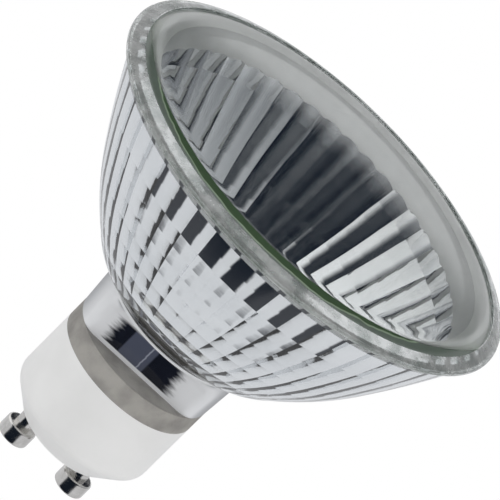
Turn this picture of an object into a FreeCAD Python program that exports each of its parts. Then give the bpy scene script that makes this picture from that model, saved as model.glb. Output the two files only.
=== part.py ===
import FreeCAD, Part
import Sketcher
import math
import os

# Reflector lamp with a two-pin base. Millimetres. The lamp's axis is Z, the light leaves along +Z,
# the pins stand along X and the origin is the middle of the underside of the ceramic cup.

SIZES = [
    ("base_diameter", 21.7),
    ("base_height", 13.2),
    ("base_bevel", 3.45),
    ("base_corner_round", 1.8),
    ("base_cavity_diameter", 16.8),
    ("base_floor", 4.0),
    ("pin_spacing", 10.0),
    ("pin_shank_diameter", 2.5),
    ("pin_head_diameter", 4.65),
    ("pin_head_height", 2.4),
    ("pin_shank_length", 3.2),
    ("pin_head_round", 0.35),
    ("pin_tip_wall", 2.8),
    ("pin_rivet_diameter", 4.0),
    ("pin_rivet_height", 0.8),
    ("wire_diameter", 0.8),
    ("fuse_diameter", 0.5),
    ("wire_clearance", 0.1),
    ("wire_rise", 8.0),
    ("wire_splice_rise", 14.5),
    ("collar_height", 3.2),
    ("collar_bore_diameter", 13.0),
    ("collar_spigot_depth", 2.0),
    ("spigot_clearance", 0.1),
    ("neck_top_diameter", 22.7),
    ("neck_rise", 7.0),
    ("neck_flat_width", 13.0),
    ("neck_flat_rise", 3.65),
    ("neck_blend_radius", 3.0),
    ("slot_length", 16.2),
    ("slot_width", 8.4),
    ("slot_corner", 4.1),
    ("heel_diameter", 24.4),
    ("heel_rise", 7.8),
    ("bowl_low_diameter", 34.3),
    ("bowl_low_rise", 11.2),
    ("bowl_middle_diameter", 49.3),
    ("bowl_middle_rise", 21.2),
    ("bowl_top_rise", 33.25),
    ("heel_curve_radius", 10.4),
    ("bowl_low_curve_radius", 45.0),
    ("bowl_top_curve_radius", 127.0),
    ("rim_diameter", 63.5),
    ("rim_overhang", 1.0),
    ("rim_top_width", 2.1),
    ("rim_under_rise", 0.4),
    ("rim_band_height", 0.65),
    ("rim_crest_rise", 0.9),
    ("seat_depth", 2.15),
    ("seat_width", 1.25),
    ("flute_drop", 0.75),
    ("flute_ledge", 0.45),
    ("flute_depth", 0.2),
    ("taper_height", 5.0),
    ("taper_depth", 0.5),
    ("wall_thickness", 2.4),
    ("floor_rise", 9.9),
    ("seal_thickness", 0.15),
    ("seal_margin", 0.175),
    ("skirt_height", 3.25),
    ("skirt_thickness", 0.5),
    ("skirt_clearance", 0.2),
    ("skirt_flare", 1.0),
    ("lens_clearance", 0.05),
    ("lens_edge_height", 2.0),
    ("lens_shoulder_rise", 1.1),
    ("lens_shoulder_width", 23.6),
    ("pinch_lift", 1.1),
    ("pinch_height", 8.9),
    ("pinch_width", 10.5),
    ("pinch_thickness", 3.0),
    ("cement_lift", 2.0),
    ("cement_depth", 6.0),
    ("capsule_diameter", 9.0),
    ("capsule_wall", 0.9),
    ("capsule_body_height", 5.8),
    ("capsule_floor", 1.0),
    ("tip_diameter", 2.4),
    ("tip_height", 0.9),
    ("foil_spacing", 4.8),
    ("foil_width", 2.4),
    ("foil_thickness", 0.12),
    ("foil_height", 5.4),
    ("foil_lift", 2.3),
    ("inner_lead_diameter", 0.6),
    ("coil_diameter", 2.0),
    ("coil_wire_diameter", 0.32),
    ("coil_pitch", 0.9),
    ("coil_height", 4.5),
    ("coil_lift", 1.5),
    ("coil_touch", 0.04),
    ("coil_grip_height", 1.6),
    ("long_lead_offset", 2.7),
    ("lead_overhang", 0.9),
]

# Sizes that follow from the ones above.
DERIVED = [
    ("base_radius", "base_diameter / 2"),
    ("bevel_foot_radius", "base_radius - base_bevel"),
    ("cavity_radius", "base_cavity_diameter / 2"),
    ("pin_offset", "pin_spacing / 2"),
    ("shank_radius", "pin_shank_diameter / 2"),
    ("head_radius", "pin_head_diameter / 2"),
    ("head_edge_radius", "head_radius - pin_head_round"),
    ("head_top_z", "-pin_shank_length"),
    ("head_top_edge_z", "head_top_z - pin_head_round"),
    ("tip_z", "head_top_z - pin_head_height"),
    ("tip_edge_z", "tip_z + pin_head_round"),
    ("bore_radius", "wire_diameter / 2 + wire_clearance"),
    ("bore_end_z", "tip_z + pin_tip_wall"),
    ("rivet_radius", "pin_rivet_diameter / 2"),
    ("rivet_top_z", "base_floor + pin_rivet_height"),
    ("spigot_radius", "cavity_radius - spigot_clearance"),
    ("spigot_end_z", "base_height - collar_spigot_depth"),
    ("collar_bore_radius", "collar_bore_diameter / 2"),
    ("foot_z", "base_height + collar_height"),
    ("neck_top_radius", "neck_top_diameter / 2"),
    ("neck_top_z", "foot_z + neck_rise"),
    ("flat_offset", "neck_flat_width / 2"),
    ("flat_top_z", "foot_z + neck_flat_rise"),
    ("blend_offset", "flat_offset + neck_blend_radius"),
    ("blend_top_z", "flat_top_z + neck_blend_radius"),
    ("flat_start_z", "foot_z - collar_height"),
    ("heel_radius", "heel_diameter / 2"),
    ("heel_z", "foot_z + heel_rise"),
    ("bowl_low_radius", "bowl_low_diameter / 2"),
    ("bowl_low_z", "foot_z + bowl_low_rise"),
    ("bowl_middle_radius", "bowl_middle_diameter / 2"),
    ("bowl_middle_z", "foot_z + bowl_middle_rise"),
    ("rim_radius", "rim_diameter / 2"),
    ("bowl_top_radius", "rim_radius - rim_overhang"),
    ("bowl_top_z", "foot_z + bowl_top_rise"),
    ("rim_low_z", "bowl_top_z + rim_under_rise"),
    ("rim_high_z", "rim_low_z + rim_band_height"),
    ("seat_radius", "rim_radius - rim_top_width"),
    ("crest_z", "rim_high_z + rim_crest_rise"),
    ("seat_z", "crest_z - seat_depth"),
    ("mouth_radius", "seat_radius - seat_width"),
    ("flute_top_z", "seat_z - flute_drop"),
    ("floor_z", "foot_z + floor_rise"),
    ("cut_top_z", "crest_z + seat_depth"),
    ("lens_radius", "seat_radius - lens_clearance"),
    ("lens_under_z", "seat_z + seal_thickness"),
    ("lens_edge_z", "lens_under_z + lens_edge_height"),
    ("lens_front_z", "lens_edge_z + lens_shoulder_rise"),
    ("lens_flat_radius", "lens_radius - lens_shoulder_width"),
    ("seal_outer_radius", "seat_radius - seal_margin"),
    ("skirt_low_z", "seat_z - skirt_height"),
    ("pinch_z", "foot_z + pinch_lift"),
    ("pinch_top_z", "pinch_z + pinch_height"),
    ("pinch_half_width", "pinch_width / 2"),
    ("pinch_half_thickness", "pinch_thickness / 2"),
    ("slot_half_length", "slot_length / 2"),
    ("slot_half_width", "slot_width / 2"),
    ("slot_flat_half_length", "slot_half_length - slot_corner"),
    ("slot_flat_half_width", "slot_half_width - slot_corner"),
    ("cement_z", "foot_z + cement_lift"),
    ("capsule_radius", "capsule_diameter / 2"),
    ("capsule_bore_radius", "capsule_radius - capsule_wall"),
    ("capsule_shoulder_z", "pinch_top_z + capsule_body_height"),
    ("capsule_floor_z", "pinch_top_z + capsule_floor"),
    ("tip_radius", "tip_diameter / 2"),
    ("dome_tip_z", "capsule_shoulder_z + sqrt(capsule_radius ^ 2 - tip_radius ^ 2)"),
    ("tip_top_z", "dome_tip_z + tip_height"),
    ("dome_bore_z", "capsule_shoulder_z + capsule_bore_radius"),
    ("foil_z", "pinch_z + foil_lift"),
    ("foil_top_z", "foil_z + foil_height"),
    ("foil_offset", "foil_spacing / 2"),
    ("wire_radius", "wire_diameter / 2"),
    ("fuse_radius", "fuse_diameter / 2"),
    ("inner_lead_radius", "inner_lead_diameter / 2"),
    ("coil_radius", "coil_diameter / 2"),
    ("coil_wire_radius", "coil_wire_diameter / 2"),
    ("coil_z", "capsule_floor_z + coil_lift"),
    ("coil_top_z", "coil_z + coil_height"),
    ("short_lead_offset", "coil_radius + coil_wire_radius + inner_lead_radius + coil_touch"),
    ("short_lead_top_z", "coil_z + coil_grip_height"),
    ("long_lead_top_z", "coil_top_z + coil_wire_radius + inner_lead_radius + coil_touch"),
    ("long_lead_end", "coil_radius - lead_overhang"),
]

FLUTE_COUNT = 48
BAND_COUNT = 9
FLUTE_TURN = -0.9
PROFILE_STEPS = 40
SEARCH_TOLERANCE = 0.001
SHEET_COLUMN = "B"

doc = FreeCAD.newDocument("reflector_lamp")
sheet = doc.addObject("Spreadsheet::Sheet", "sizes")
made = []


def fillSheet():
    for row, (name, value) in enumerate(SIZES + DERIVED, start=1):
        text = str(value) if (name, value) in SIZES else "=" + value
        sheet.set("A%d" % row, name)
        sheet.set("%s%d" % (SHEET_COLUMN, row), text)
        sheet.setAlias("%s%d" % (SHEET_COLUMN, row), name)
        doc.recompute()


def nameSize(cell, name, value):
    sheet.set(cell, str(value))
    sheet.setAlias(cell, name)
    doc.recompute()


def size(name):
    return float(sheet.get(name))


def signed(name):
    return -size(name[1:]) if name.startswith("-") else size(name)


def bound(name):
    return "-sizes." + name[1:] if name.startswith("-") else "sizes." + name


def newBody(label):
    body = doc.addObject("PartDesign::Body", label)
    body.Label = label
    made.append(body)
    return body


def newPrimitive(kind, label):
    piece = doc.addObject(kind, label)
    piece.Label = label
    made.append(piece)
    return piece


def originPlane(body, role):
    return [f for f in body.Origin.OriginFeatures if f.Role == role][0]


def newSketch(body, name, role, height=None):
    sketch = body.newObject("Sketcher::SketchObject", name)
    sketch.AttachmentSupport = (originPlane(body, role), [""])
    sketch.MapMode = "FlatFace"
    if height is not None:
        sketch.setExpression("AttachmentOffset.Base.z", bound(height))
    return sketch


def bindCoordinate(sketch, kind, axis, edge, end, name):
    if name == "0":
        sketch.addConstraint(Sketcher.Constraint("PointOnObject", edge, end, axis))
        return
    index = sketch.addConstraint(Sketcher.Constraint(kind, -1, 1, edge, end, signed(name)))
    sketch.setExpression("Constraints[%d]" % index, bound(name))


def vector(point):
    x, y = [0.0 if name == "0" else signed(name) for name in point[:2]]
    return FreeCAD.Vector(x, y, 0)


def arcCentre(start, end, radius):
    # The arc bulges to the right of the way from start to end for a positive radius.
    middle = (start + end) * 0.5
    way = end - start
    half = way.Length / 2
    reach = math.sqrt(max(radius * radius - half * half, 0.0))
    side = FreeCAD.Vector(-way.y, way.x, 0).normalize()
    return middle + side * math.copysign(reach, radius)


def arcMiddle(start, end, radius):
    centre = arcCentre(start, end, radius)
    away = ((start + end) * 0.5 - centre).normalize()
    return centre + away * abs(radius)


def addOutline(sketch, points):
    # A point is (x, y) or (x, y, radius) where the edge that leaves it is an arc.
    edges = []
    for index, point in enumerate(points):
        start = vector(point)
        end = vector(points[(index + 1) % len(points)])
        if len(point) == 2:
            edges.append((sketch.addGeometry(Part.LineSegment(start, end)), 1, 2))
            continue
        radius = signed(point[2])
        middle = arcMiddle(start, end, radius)
        if radius > 0:
            edges.append((sketch.addGeometry(Part.Arc(start, middle, end)), 1, 2))
        else:
            edges.append((sketch.addGeometry(Part.Arc(end, middle, start)), 2, 1))
    for index, point in enumerate(points):
        edge, first, last = edges[index]
        before = edges[index - 1]
        sketch.addConstraint(Sketcher.Constraint("Coincident", before[0], before[2], edge, first))
        bindCoordinate(sketch, "DistanceX", -2, edge, first, point[0])
        bindCoordinate(sketch, "DistanceY", -1, edge, first, point[1])
        if len(point) == 3:
            limit = sketch.addConstraint(Sketcher.Constraint("Radius", edge, abs(signed(point[2]))))
            sketch.setExpression("Constraints[%d]" % limit, bound(point[2].lstrip("-")))
    return [edge for edge, first, last in edges]


def turned(body, kind, name, points):
    sketch = newSketch(body, name + "_outline", "XZ_Plane")
    addOutline(sketch, points)
    feature = body.newObject(kind, name)
    feature.Profile = sketch
    feature.ReferenceAxis = (sketch, ["V_Axis"])
    feature.Angle = 360
    sketch.Visibility = False
    doc.recompute()
    return feature


def extruded(body, kind, name, role, outlines, height=None, through=False, length=None):
    sketch = newSketch(body, name + "_outline", role, height)
    for points in outlines:
        addOutline(sketch, points)
    feature = body.newObject(kind, name)
    feature.Profile = sketch
    if through:
        feature.Type = "ThroughAll"
        feature.Midplane = True
    else:
        feature.setExpression("Length", bound(length))
    doc.recompute()
    return feature


def rectangle(halfWidth, halfHeight):
    return [
        ("-" + halfWidth, "-" + halfHeight),
        (halfWidth, "-" + halfHeight),
        (halfWidth, halfHeight),
        ("-" + halfWidth, halfHeight),
    ]


def slotOutline():
    return [
        ("slot_half_length", "-slot_flat_half_width"),
        ("slot_half_length", "slot_flat_half_width", "slot_corner"),
        ("slot_flat_half_length", "slot_half_width"),
        ("-slot_flat_half_length", "slot_half_width", "slot_corner"),
        ("-slot_half_length", "slot_flat_half_width"),
        ("-slot_half_length", "-slot_flat_half_width", "slot_corner"),
        ("-slot_flat_half_length", "-slot_half_width"),
        ("slot_flat_half_length", "-slot_half_width", "slot_corner"),
    ]


def circleAt(body, name, role, x, y, radius, height=None):
    sketch = newSketch(body, name, role, height)
    centre = vector((x, y))
    edge = sketch.addGeometry(Part.Circle(centre, FreeCAD.Vector(0, 0, 1), size(radius)))
    bindCoordinate(sketch, "DistanceX", -2, edge, 3, x)
    bindCoordinate(sketch, "DistanceY", -1, edge, 3, y)
    limit = sketch.addConstraint(Sketcher.Constraint("Radius", edge, size(radius)))
    sketch.setExpression("Constraints[%d]" % limit, bound(radius))
    return sketch


def openPath(body, name, points):
    sketch = newSketch(body, name, "XZ_Plane")
    ends = [vector(point) for point in points]
    edges = [sketch.addGeometry(Part.LineSegment(a, b)) for a, b in zip(ends, ends[1:])]
    for index, edge in enumerate(edges):
        if index:
            sketch.addConstraint(Sketcher.Constraint("Coincident", edges[index - 1], 2, edge, 1))
        bindCoordinate(sketch, "DistanceX", -2, edge, 1, points[index][0])
        bindCoordinate(sketch, "DistanceY", -1, edge, 1, points[index][1])
    bindCoordinate(sketch, "DistanceX", -2, edges[-1], 2, points[-1][0])
    bindCoordinate(sketch, "DistanceY", -1, edges[-1], 2, points[-1][1])
    return sketch


def sweptWire(label, points, radius):
    body = newBody(label)
    profile = circleAt(body, label + "_section", "XY_Plane", points[0][0], "0", radius, points[0][1])
    path = openPath(body, label + "_path", points)
    doc.recompute()
    wire = body.newObject("PartDesign::AdditivePipe", label + "_sweep")
    wire.Profile = profile
    wire.Spine = (path, ["Edge%d" % (i + 1) for i in range(len(points) - 1)])
    wire.Transition = "Right corner"
    doc.recompute()
    return body


def straightWire(label, radius, x, bottom, top):
    wire = newPrimitive("Part::Cylinder", label)
    wire.setExpression("Radius", bound(radius))
    wire.setExpression("Height", "sizes.%s - sizes.%s" % (top, bottom))
    wire.setExpression("Placement.Base.x", bound(x))
    wire.setExpression("Placement.Base.z", bound(bottom))


def ceramicBase():
    body = newBody("ceramic_base")
    cup = turned(body, "PartDesign::Revolution", "cup", [
        ("0", "0"),
        ("bevel_foot_radius", "0"),
        ("base_radius", "base_bevel"),
        ("base_radius", "base_height"),
        ("cavity_radius", "base_height"),
        ("cavity_radius", "base_floor"),
        ("0", "base_floor"),
    ])
    corner = cornerEdge(cup.Shape, size("base_radius"), size("base_bevel"))
    soft = body.newObject("PartDesign::Fillet", "bevel_round")
    soft.Base = (cup, [corner])
    soft.setExpression("Radius", "sizes.base_corner_round")
    doc.recompute()
    for side in ("-", ""):
        hole = circleAt(body, "pin_hole_outline", "XY_Plane", side + "pin_offset", "0", "shank_radius")
        cut = body.newObject("PartDesign::Pocket", "pin_hole")
        cut.Profile = hole
        cut.Type = "ThroughAll"
        cut.Midplane = True
        doc.recompute()


def cornerEdge(shape, radius, height):
    for index, edge in enumerate(shape.Edges, start=1):
        curve = edge.Curve
        if not isinstance(curve, Part.Circle):
            continue
        sameRadius = abs(curve.Radius - radius) < SEARCH_TOLERANCE
        if sameRadius and abs(curve.Center.z - height) < SEARCH_TOLERANCE:
            return "Edge%d" % index
    raise RuntimeError("corner edge not found")


def contactPin(label, side):
    body = newBody(label)
    turned(body, "PartDesign::Revolution", "pin_turning", [
        ("0", "tip_z"),
        ("head_edge_radius", "tip_z", "pin_head_round"),
        ("head_radius", "tip_edge_z"),
        ("head_radius", "head_top_edge_z", "pin_head_round"),
        ("head_edge_radius", "head_top_z"),
        ("shank_radius", "head_top_z"),
        ("shank_radius", "base_floor"),
        ("rivet_radius", "base_floor"),
        ("rivet_radius", "rivet_top_z"),
        ("bore_radius", "rivet_top_z"),
        ("bore_radius", "bore_end_z"),
        ("0", "bore_end_z"),
    ])
    body.setExpression("Placement.Base.x", bound(side + "pin_offset"))


def baseCement():
    body = newBody("base_cement")
    turned(body, "PartDesign::Revolution", "collar", [
        ("collar_bore_radius", "spigot_end_z"),
        ("spigot_radius", "spigot_end_z"),
        ("spigot_radius", "base_height"),
        ("base_radius", "base_height"),
        ("base_radius", "foot_z"),
        ("collar_bore_radius", "foot_z"),
    ])


def outerProfile():
    # Points of the outer wall from heel to rim, as (radius, height).
    names = [
        ("heel_radius", "heel_z", "heel_curve_radius"),
        ("bowl_low_radius", "bowl_low_z", "bowl_low_curve_radius"),
        ("bowl_middle_radius", "bowl_middle_z", "bowl_top_curve_radius"),
        ("bowl_top_radius", "bowl_top_z"),
    ]
    points = []
    for this, after in zip(names, names[1:]):
        start, end = vector(this), vector(after)
        centre = arcCentre(start, end, size(this[2]))
        first = math.atan2(start.y - centre.y, start.x - centre.x)
        last = math.atan2(end.y - centre.y, end.x - centre.x)
        for step in range(PROFILE_STEPS):
            angle = first + (last - first) * step / PROFILE_STEPS
            away = FreeCAD.Vector(math.cos(angle), math.sin(angle), 0)
            points.append((centre + away * size(this[2]), away))
    return points


def wallRadius(height):
    # Radius one wall thickness inside the outer wall.
    inner = [point - away * size("wall_thickness") for point, away in outerProfile()]
    for low, high in zip(inner, inner[1:]):
        if low.y <= height <= high.y:
            share = (height - low.y) / (high.y - low.y)
            return low.x + (high.x - low.x) * share
    return inner[0].x if height < inner[0].y else inner[-1].x


def innerRadius(height):
    # Radius of the cusps between flutes; the wall grows thicker towards the rim.
    above = height - size("flute_top_z") + size("taper_height")
    return wallRadius(height) - size("taper_depth") * max(0, above) / size("taper_height")


def ridgeRadius(height):
    # Radius of the ridges that the flutes make between their cusps.
    radius = innerRadius(height)
    depth = size("flute_depth") * radius / innerRadius(size("flute_top_z"))
    return radius * math.cos(math.pi / FLUTE_COUNT) - depth


def fluteSection(body, index, height):
    sketch = newSketch(body, "flutes_%d" % index, "XY_Plane")
    sketch.AttachmentOffset = FreeCAD.Placement(FreeCAD.Vector(0, 0, height), FreeCAD.Rotation())
    pitch = 2 * math.pi / FLUTE_COUNT
    turn = math.radians(FLUTE_TURN)
    cusp, ridge = innerRadius(height), ridgeRadius(height)

    def at(distance, step):
        angle = turn + pitch * step
        return FreeCAD.Vector(distance * math.cos(angle), distance * math.sin(angle), 0)

    arcs = [Part.Arc(at(cusp, k), at(ridge, k + 0.5), at(cusp, k + 1)) for k in range(FLUTE_COUNT)]
    sketch.addGeometry(arcs)
    return sketch


def fluteSections(body):
    low, high = size("floor_z"), size("flute_top_z")
    sections = []
    for index in range(BAND_COUNT + 1):
        height = low + (high - low) * index / BAND_COUNT
        sections.append(fluteSection(body, index, height))
    return sections


def reflector():
    body = newBody("reflector")
    turned(body, "PartDesign::Revolution", "blank", [
        ("0", "foot_z"),
        ("base_radius", "foot_z"),
        ("neck_top_radius", "neck_top_z"),
        ("heel_radius", "heel_z", "heel_curve_radius"),
        ("bowl_low_radius", "bowl_low_z", "bowl_low_curve_radius"),
        ("bowl_middle_radius", "bowl_middle_z", "bowl_top_curve_radius"),
        ("bowl_top_radius", "bowl_top_z"),
        ("rim_radius", "rim_low_z"),
        ("rim_radius", "rim_high_z"),
        ("seat_radius", "crest_z"),
        ("0", "crest_z"),
    ])
    nameSize("C1", "ledge_radius", innerRadius(size("flute_top_z")) + size("flute_ledge"))
    turned(body, "PartDesign::Groove", "mouth", [
        ("0", "flute_top_z"),
        ("ledge_radius", "flute_top_z"),
        ("mouth_radius", "seat_z"),
        ("seat_radius", "seat_z"),
        ("seat_radius", "cut_top_z"),
        ("0", "cut_top_z"),
    ])
    sections = fluteSections(body)
    doc.recompute()
    flutes = body.newObject("PartDesign::SubtractiveLoft", "flutes")
    flutes.Profile = sections[0]
    flutes.Sections = sections[1:]
    flutes.Ruled = True
    doc.recompute()
    extruded(body, "PartDesign::Pocket", "neck_slot", "XY_Plane",
             [slotOutline()], height="foot_z", through=True)
    flats = []
    for side in ("", "-"):
        blend = "neck_blend_radius" if side else "-neck_blend_radius"
        flats.append([
            (side + "flat_offset", "flat_start_z"),
            (side + "flat_offset", "flat_top_z", blend),
            (side + "blend_offset", "blend_top_z"),
            (side + "rim_radius", "blend_top_z"),
            (side + "rim_radius", "flat_start_z"),
        ])
    extruded(body, "PartDesign::Pocket", "neck_flats", "YZ_Plane", flats, through=True)


def frontLens():
    body = newBody("front_lens")
    sketch = newSketch(body, "lens_outline", "XZ_Plane")
    points = [
        ("0", "lens_under_z"),
        ("lens_radius", "lens_under_z"),
        ("lens_radius", "lens_edge_z"),
        ("lens_flat_radius", "lens_front_z"),
        ("0", "lens_front_z"),
    ]
    addLensOutline(sketch, points)
    lens = body.newObject("PartDesign::Revolution", "lens_turning")
    lens.Profile = sketch
    lens.ReferenceAxis = (sketch, ["V_Axis"])
    lens.Angle = 360
    doc.recompute()


def addLensOutline(sketch, points):
    # The shoulder is an arc that leaves the flat front without a corner.
    ends = [vector(point) for point in points]
    run = ends[2].x - ends[3].x
    drop = ends[3].y - ends[2].y
    radius = (run * run + drop * drop) / (2 * drop)
    middle = arcMiddle(ends[2], ends[3], radius)
    shapes = [Part.LineSegment(ends[0], ends[1]), Part.LineSegment(ends[1], ends[2])]
    shapes += [Part.Arc(ends[2], middle, ends[3])]
    shapes += [Part.LineSegment(ends[3], ends[4]), Part.LineSegment(ends[4], ends[0])]
    edges = [sketch.addGeometry(shape) for shape in shapes]
    for index, point in enumerate(points):
        if index == 3:
            sketch.addConstraint(Sketcher.Constraint("Tangent", edges[2], 2, edges[3], 1))
        else:
            sketch.addConstraint(Sketcher.Constraint("Coincident", edges[index - 1], 2, edges[index], 1))
        bindCoordinate(sketch, "DistanceX", -2, edges[index], 1, point[0])
        bindCoordinate(sketch, "DistanceY", -1, edges[index], 1, point[1])


def lensSeal():
    body = newBody("lens_seal")
    # The skirt clears the ridges at its foot, and its flare stays inside them at the top.
    foot = ridgeRadius(size("skirt_low_z")) - size("skirt_clearance")
    top = ridgeRadius(size("flute_top_z")) - size("skirt_flare")
    nameSize("C2", "skirt_outer_radius", min(foot, top))
    nameSize("C3", "skirt_inner_radius", "=skirt_outer_radius - skirt_thickness")
    nameSize("C4", "flare_outer_radius", "=skirt_outer_radius + skirt_flare")
    nameSize("C5", "flare_inner_radius", "=skirt_inner_radius + skirt_flare")
    turned(body, "PartDesign::Revolution", "gasket", [
        ("skirt_inner_radius", "skirt_low_z"),
        ("skirt_outer_radius", "skirt_low_z"),
        ("flare_outer_radius", "seat_z"),
        ("seal_outer_radius", "seat_z"),
        ("seal_outer_radius", "lens_under_z"),
        ("flare_inner_radius", "lens_under_z"),
    ])


def capsuleCement():
    body = newBody("capsule_cement")
    extruded(body, "PartDesign::Pad", "filling", "XY_Plane",
             [slotOutline(),
              rectangle("pinch_half_width", "pinch_half_thickness")],
             height="cement_z", length="cement_depth")


def capsuleEnvelope():
    body = newBody("capsule_envelope")
    turned(body, "PartDesign::Revolution", "tube", [
        ("0", "pinch_top_z"),
        ("capsule_radius", "pinch_top_z"),
        ("capsule_radius", "capsule_shoulder_z", "capsule_radius"),
        ("tip_radius", "dome_tip_z"),
        ("tip_radius", "tip_top_z"),
        ("0", "tip_top_z"),
    ])
    extruded(body, "PartDesign::Pad", "pinch", "XY_Plane",
             [rectangle("pinch_half_width", "pinch_half_thickness")],
             height="pinch_z", length="pinch_height")
    turned(body, "PartDesign::Groove", "burning_space", [
        ("0", "capsule_floor_z"),
        ("capsule_bore_radius", "capsule_floor_z"),
        ("capsule_bore_radius", "capsule_shoulder_z", "capsule_bore_radius"),
        ("0", "dome_bore_z"),
    ])
    channel(body, "short_channel", "-short_lead_offset", "inner_lead_radius", "capsule_floor_z", "foil_top_z")
    channel(body, "long_channel", "long_lead_offset", "inner_lead_radius", "capsule_floor_z", "foil_top_z")
    for side, name in (("-", "left"), ("", "right")):
        channel(body, name + "_channel", side + "foil_offset", "wire_radius", "foil_z", "pinch_z")
        foilSlot(body, name + "_foil_slot", side)


def channel(body, name, x, radius, high, low):
    # A round passage down from the height called high to the one called low.
    cut = body.newObject("PartDesign::Pocket", name)
    cut.Profile = circleAt(body, name + "_outline", "XY_Plane", x, "0", radius, high)
    cut.setExpression("Length", "sizes.%s - sizes.%s" % (high, low))
    doc.recompute()


def foilSlot(body, name, side):
    sketch = newSketch(body, name + "_outline", "XZ_Plane")
    half = size("foil_width") / 2
    middle = signed(side + "foil_offset")
    low, high = size("foil_z"), size("foil_top_z")
    corners = [(middle - half, low), (middle + half, low), (middle + half, high), (middle - half, high)]
    ends = [FreeCAD.Vector(x, y, 0) for x, y in corners]
    edges = [sketch.addGeometry(Part.LineSegment(a, b)) for a, b in zip(ends, ends[1:] + ends[:1])]
    for index, edge in enumerate(edges):
        sketch.addConstraint(Sketcher.Constraint("Coincident", edges[index - 1], 2, edge, 1))
    for index in (0, 2):
        sketch.addConstraint(Sketcher.Constraint("Horizontal", edges[index]))
        sketch.addConstraint(Sketcher.Constraint("Vertical", edges[index + 1]))
    left = "-sizes.foil_offset" if side else "sizes.foil_offset"
    drive(sketch, "DistanceX", edges[0], 1, corners[0][0], left + " - sizes.foil_width / 2")
    drive(sketch, "DistanceX", edges[2], 1, corners[2][0], left + " + sizes.foil_width / 2")
    drive(sketch, "DistanceY", edges[0], 1, corners[0][1], "sizes.foil_z")
    drive(sketch, "DistanceY", edges[2], 1, corners[2][1], "sizes.foil_top_z")
    cut = body.newObject("PartDesign::Pocket", name)
    cut.Profile = sketch
    cut.Midplane = True
    cut.setExpression("Length", "sizes.foil_thickness")
    doc.recompute()


def drive(sketch, kind, edge, end, value, expression):
    index = sketch.addConstraint(Sketcher.Constraint(kind, -1, 1, edge, end, value))
    sketch.setExpression("Constraints[%d]" % index, expression)


def foil(label, side):
    sheetMetal = newPrimitive("Part::Box", label)
    sheetMetal.setExpression("Length", "sizes.foil_width")
    sheetMetal.setExpression("Width", "sizes.foil_thickness")
    sheetMetal.setExpression("Height", "sizes.foil_height")
    sheetMetal.setExpression("Placement.Base.x", bound(side + "foil_offset") + " - sizes.foil_width / 2")
    sheetMetal.setExpression("Placement.Base.y", "-sizes.foil_thickness / 2")
    sheetMetal.setExpression("Placement.Base.z", "sizes.foil_z")


def filament():
    body = newBody("filament")
    section = circleAt(body, "coil_section", "XZ_Plane", "coil_radius", "coil_z", "coil_wire_radius")
    doc.recompute()
    coil = body.newObject("PartDesign::AdditiveHelix", "coil")
    coil.Profile = section
    coil.ReferenceAxis = (section, ["V_Axis"])
    coil.Mode = 0
    coil.setExpression("Pitch", "sizes.coil_pitch")
    coil.setExpression("Height", "sizes.coil_height")
    doc.recompute()


def leads():
    straightWire("inner_lead_short", "inner_lead_radius", "-short_lead_offset", "foil_top_z", "short_lead_top_z")
    sweptWire("inner_lead_long", [
        ("long_lead_offset", "foil_top_z"),
        ("long_lead_offset", "long_lead_top_z"),
        ("long_lead_end", "long_lead_top_z"),
    ], "inner_lead_radius")
    for label, side in (("outer_lead_left", "-"), ("outer_lead_right", "")):
        straightWire(label, "wire_radius", side + "foil_offset", "wire_splice_rise", "foil_z")
    for label, side, radius in (("lead_wire", "-", "wire_radius"), ("fuse_wire", "", "fuse_radius")):
        sweptWire(label, [
            (side + "pin_offset", "bore_end_z"),
            (side + "pin_offset", "wire_rise"),
            (side + "foil_offset", "spigot_end_z"),
            (side + "foil_offset", "wire_splice_rise"),
        ], radius)


def checkAndExport():
    doc.recompute()
    for item in doc.Objects:
        bad = [state for state in item.State if state in ("Invalid", "Error")]
        if bad:
            raise RuntimeError("%s: %s" % (item.Label, bad))
    os.makedirs("parts", exist_ok=True)
    for piece in made:
        shape = piece.Shape
        if shape.isNull() or not shape.isValid():
            raise RuntimeError("bad shape: " + piece.Label)
        shape.exportStep("parts/%s.step" % piece.Label)
        print(piece.Label, len(shape.Solids), round(shape.Volume, 2))


fillSheet()
ceramicBase()
contactPin("contact_pin_left", "-")
contactPin("contact_pin_right", "")
baseCement()
reflector()
frontLens()
lensSeal()
capsuleCement()
capsuleEnvelope()
foil("foil_left", "-")
foil("foil_right", "")
filament()
leads()
checkAndExport()
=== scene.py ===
import math
import bmesh
import bpy
from mathutils import Matrix, Vector


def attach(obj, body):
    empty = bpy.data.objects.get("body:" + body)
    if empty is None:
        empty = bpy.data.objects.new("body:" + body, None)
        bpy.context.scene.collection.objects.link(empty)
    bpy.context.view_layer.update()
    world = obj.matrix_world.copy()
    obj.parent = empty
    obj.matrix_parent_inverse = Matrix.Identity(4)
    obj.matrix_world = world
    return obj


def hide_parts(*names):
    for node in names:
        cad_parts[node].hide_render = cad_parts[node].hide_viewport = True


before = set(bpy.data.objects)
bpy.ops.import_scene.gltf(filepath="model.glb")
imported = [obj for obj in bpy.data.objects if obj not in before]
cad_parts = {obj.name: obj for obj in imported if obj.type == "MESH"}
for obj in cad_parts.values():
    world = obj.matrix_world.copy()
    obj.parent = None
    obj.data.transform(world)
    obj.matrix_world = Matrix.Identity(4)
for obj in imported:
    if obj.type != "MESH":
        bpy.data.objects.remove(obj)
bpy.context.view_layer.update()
print("frame loaded:", len(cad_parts), "nodes")

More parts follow.
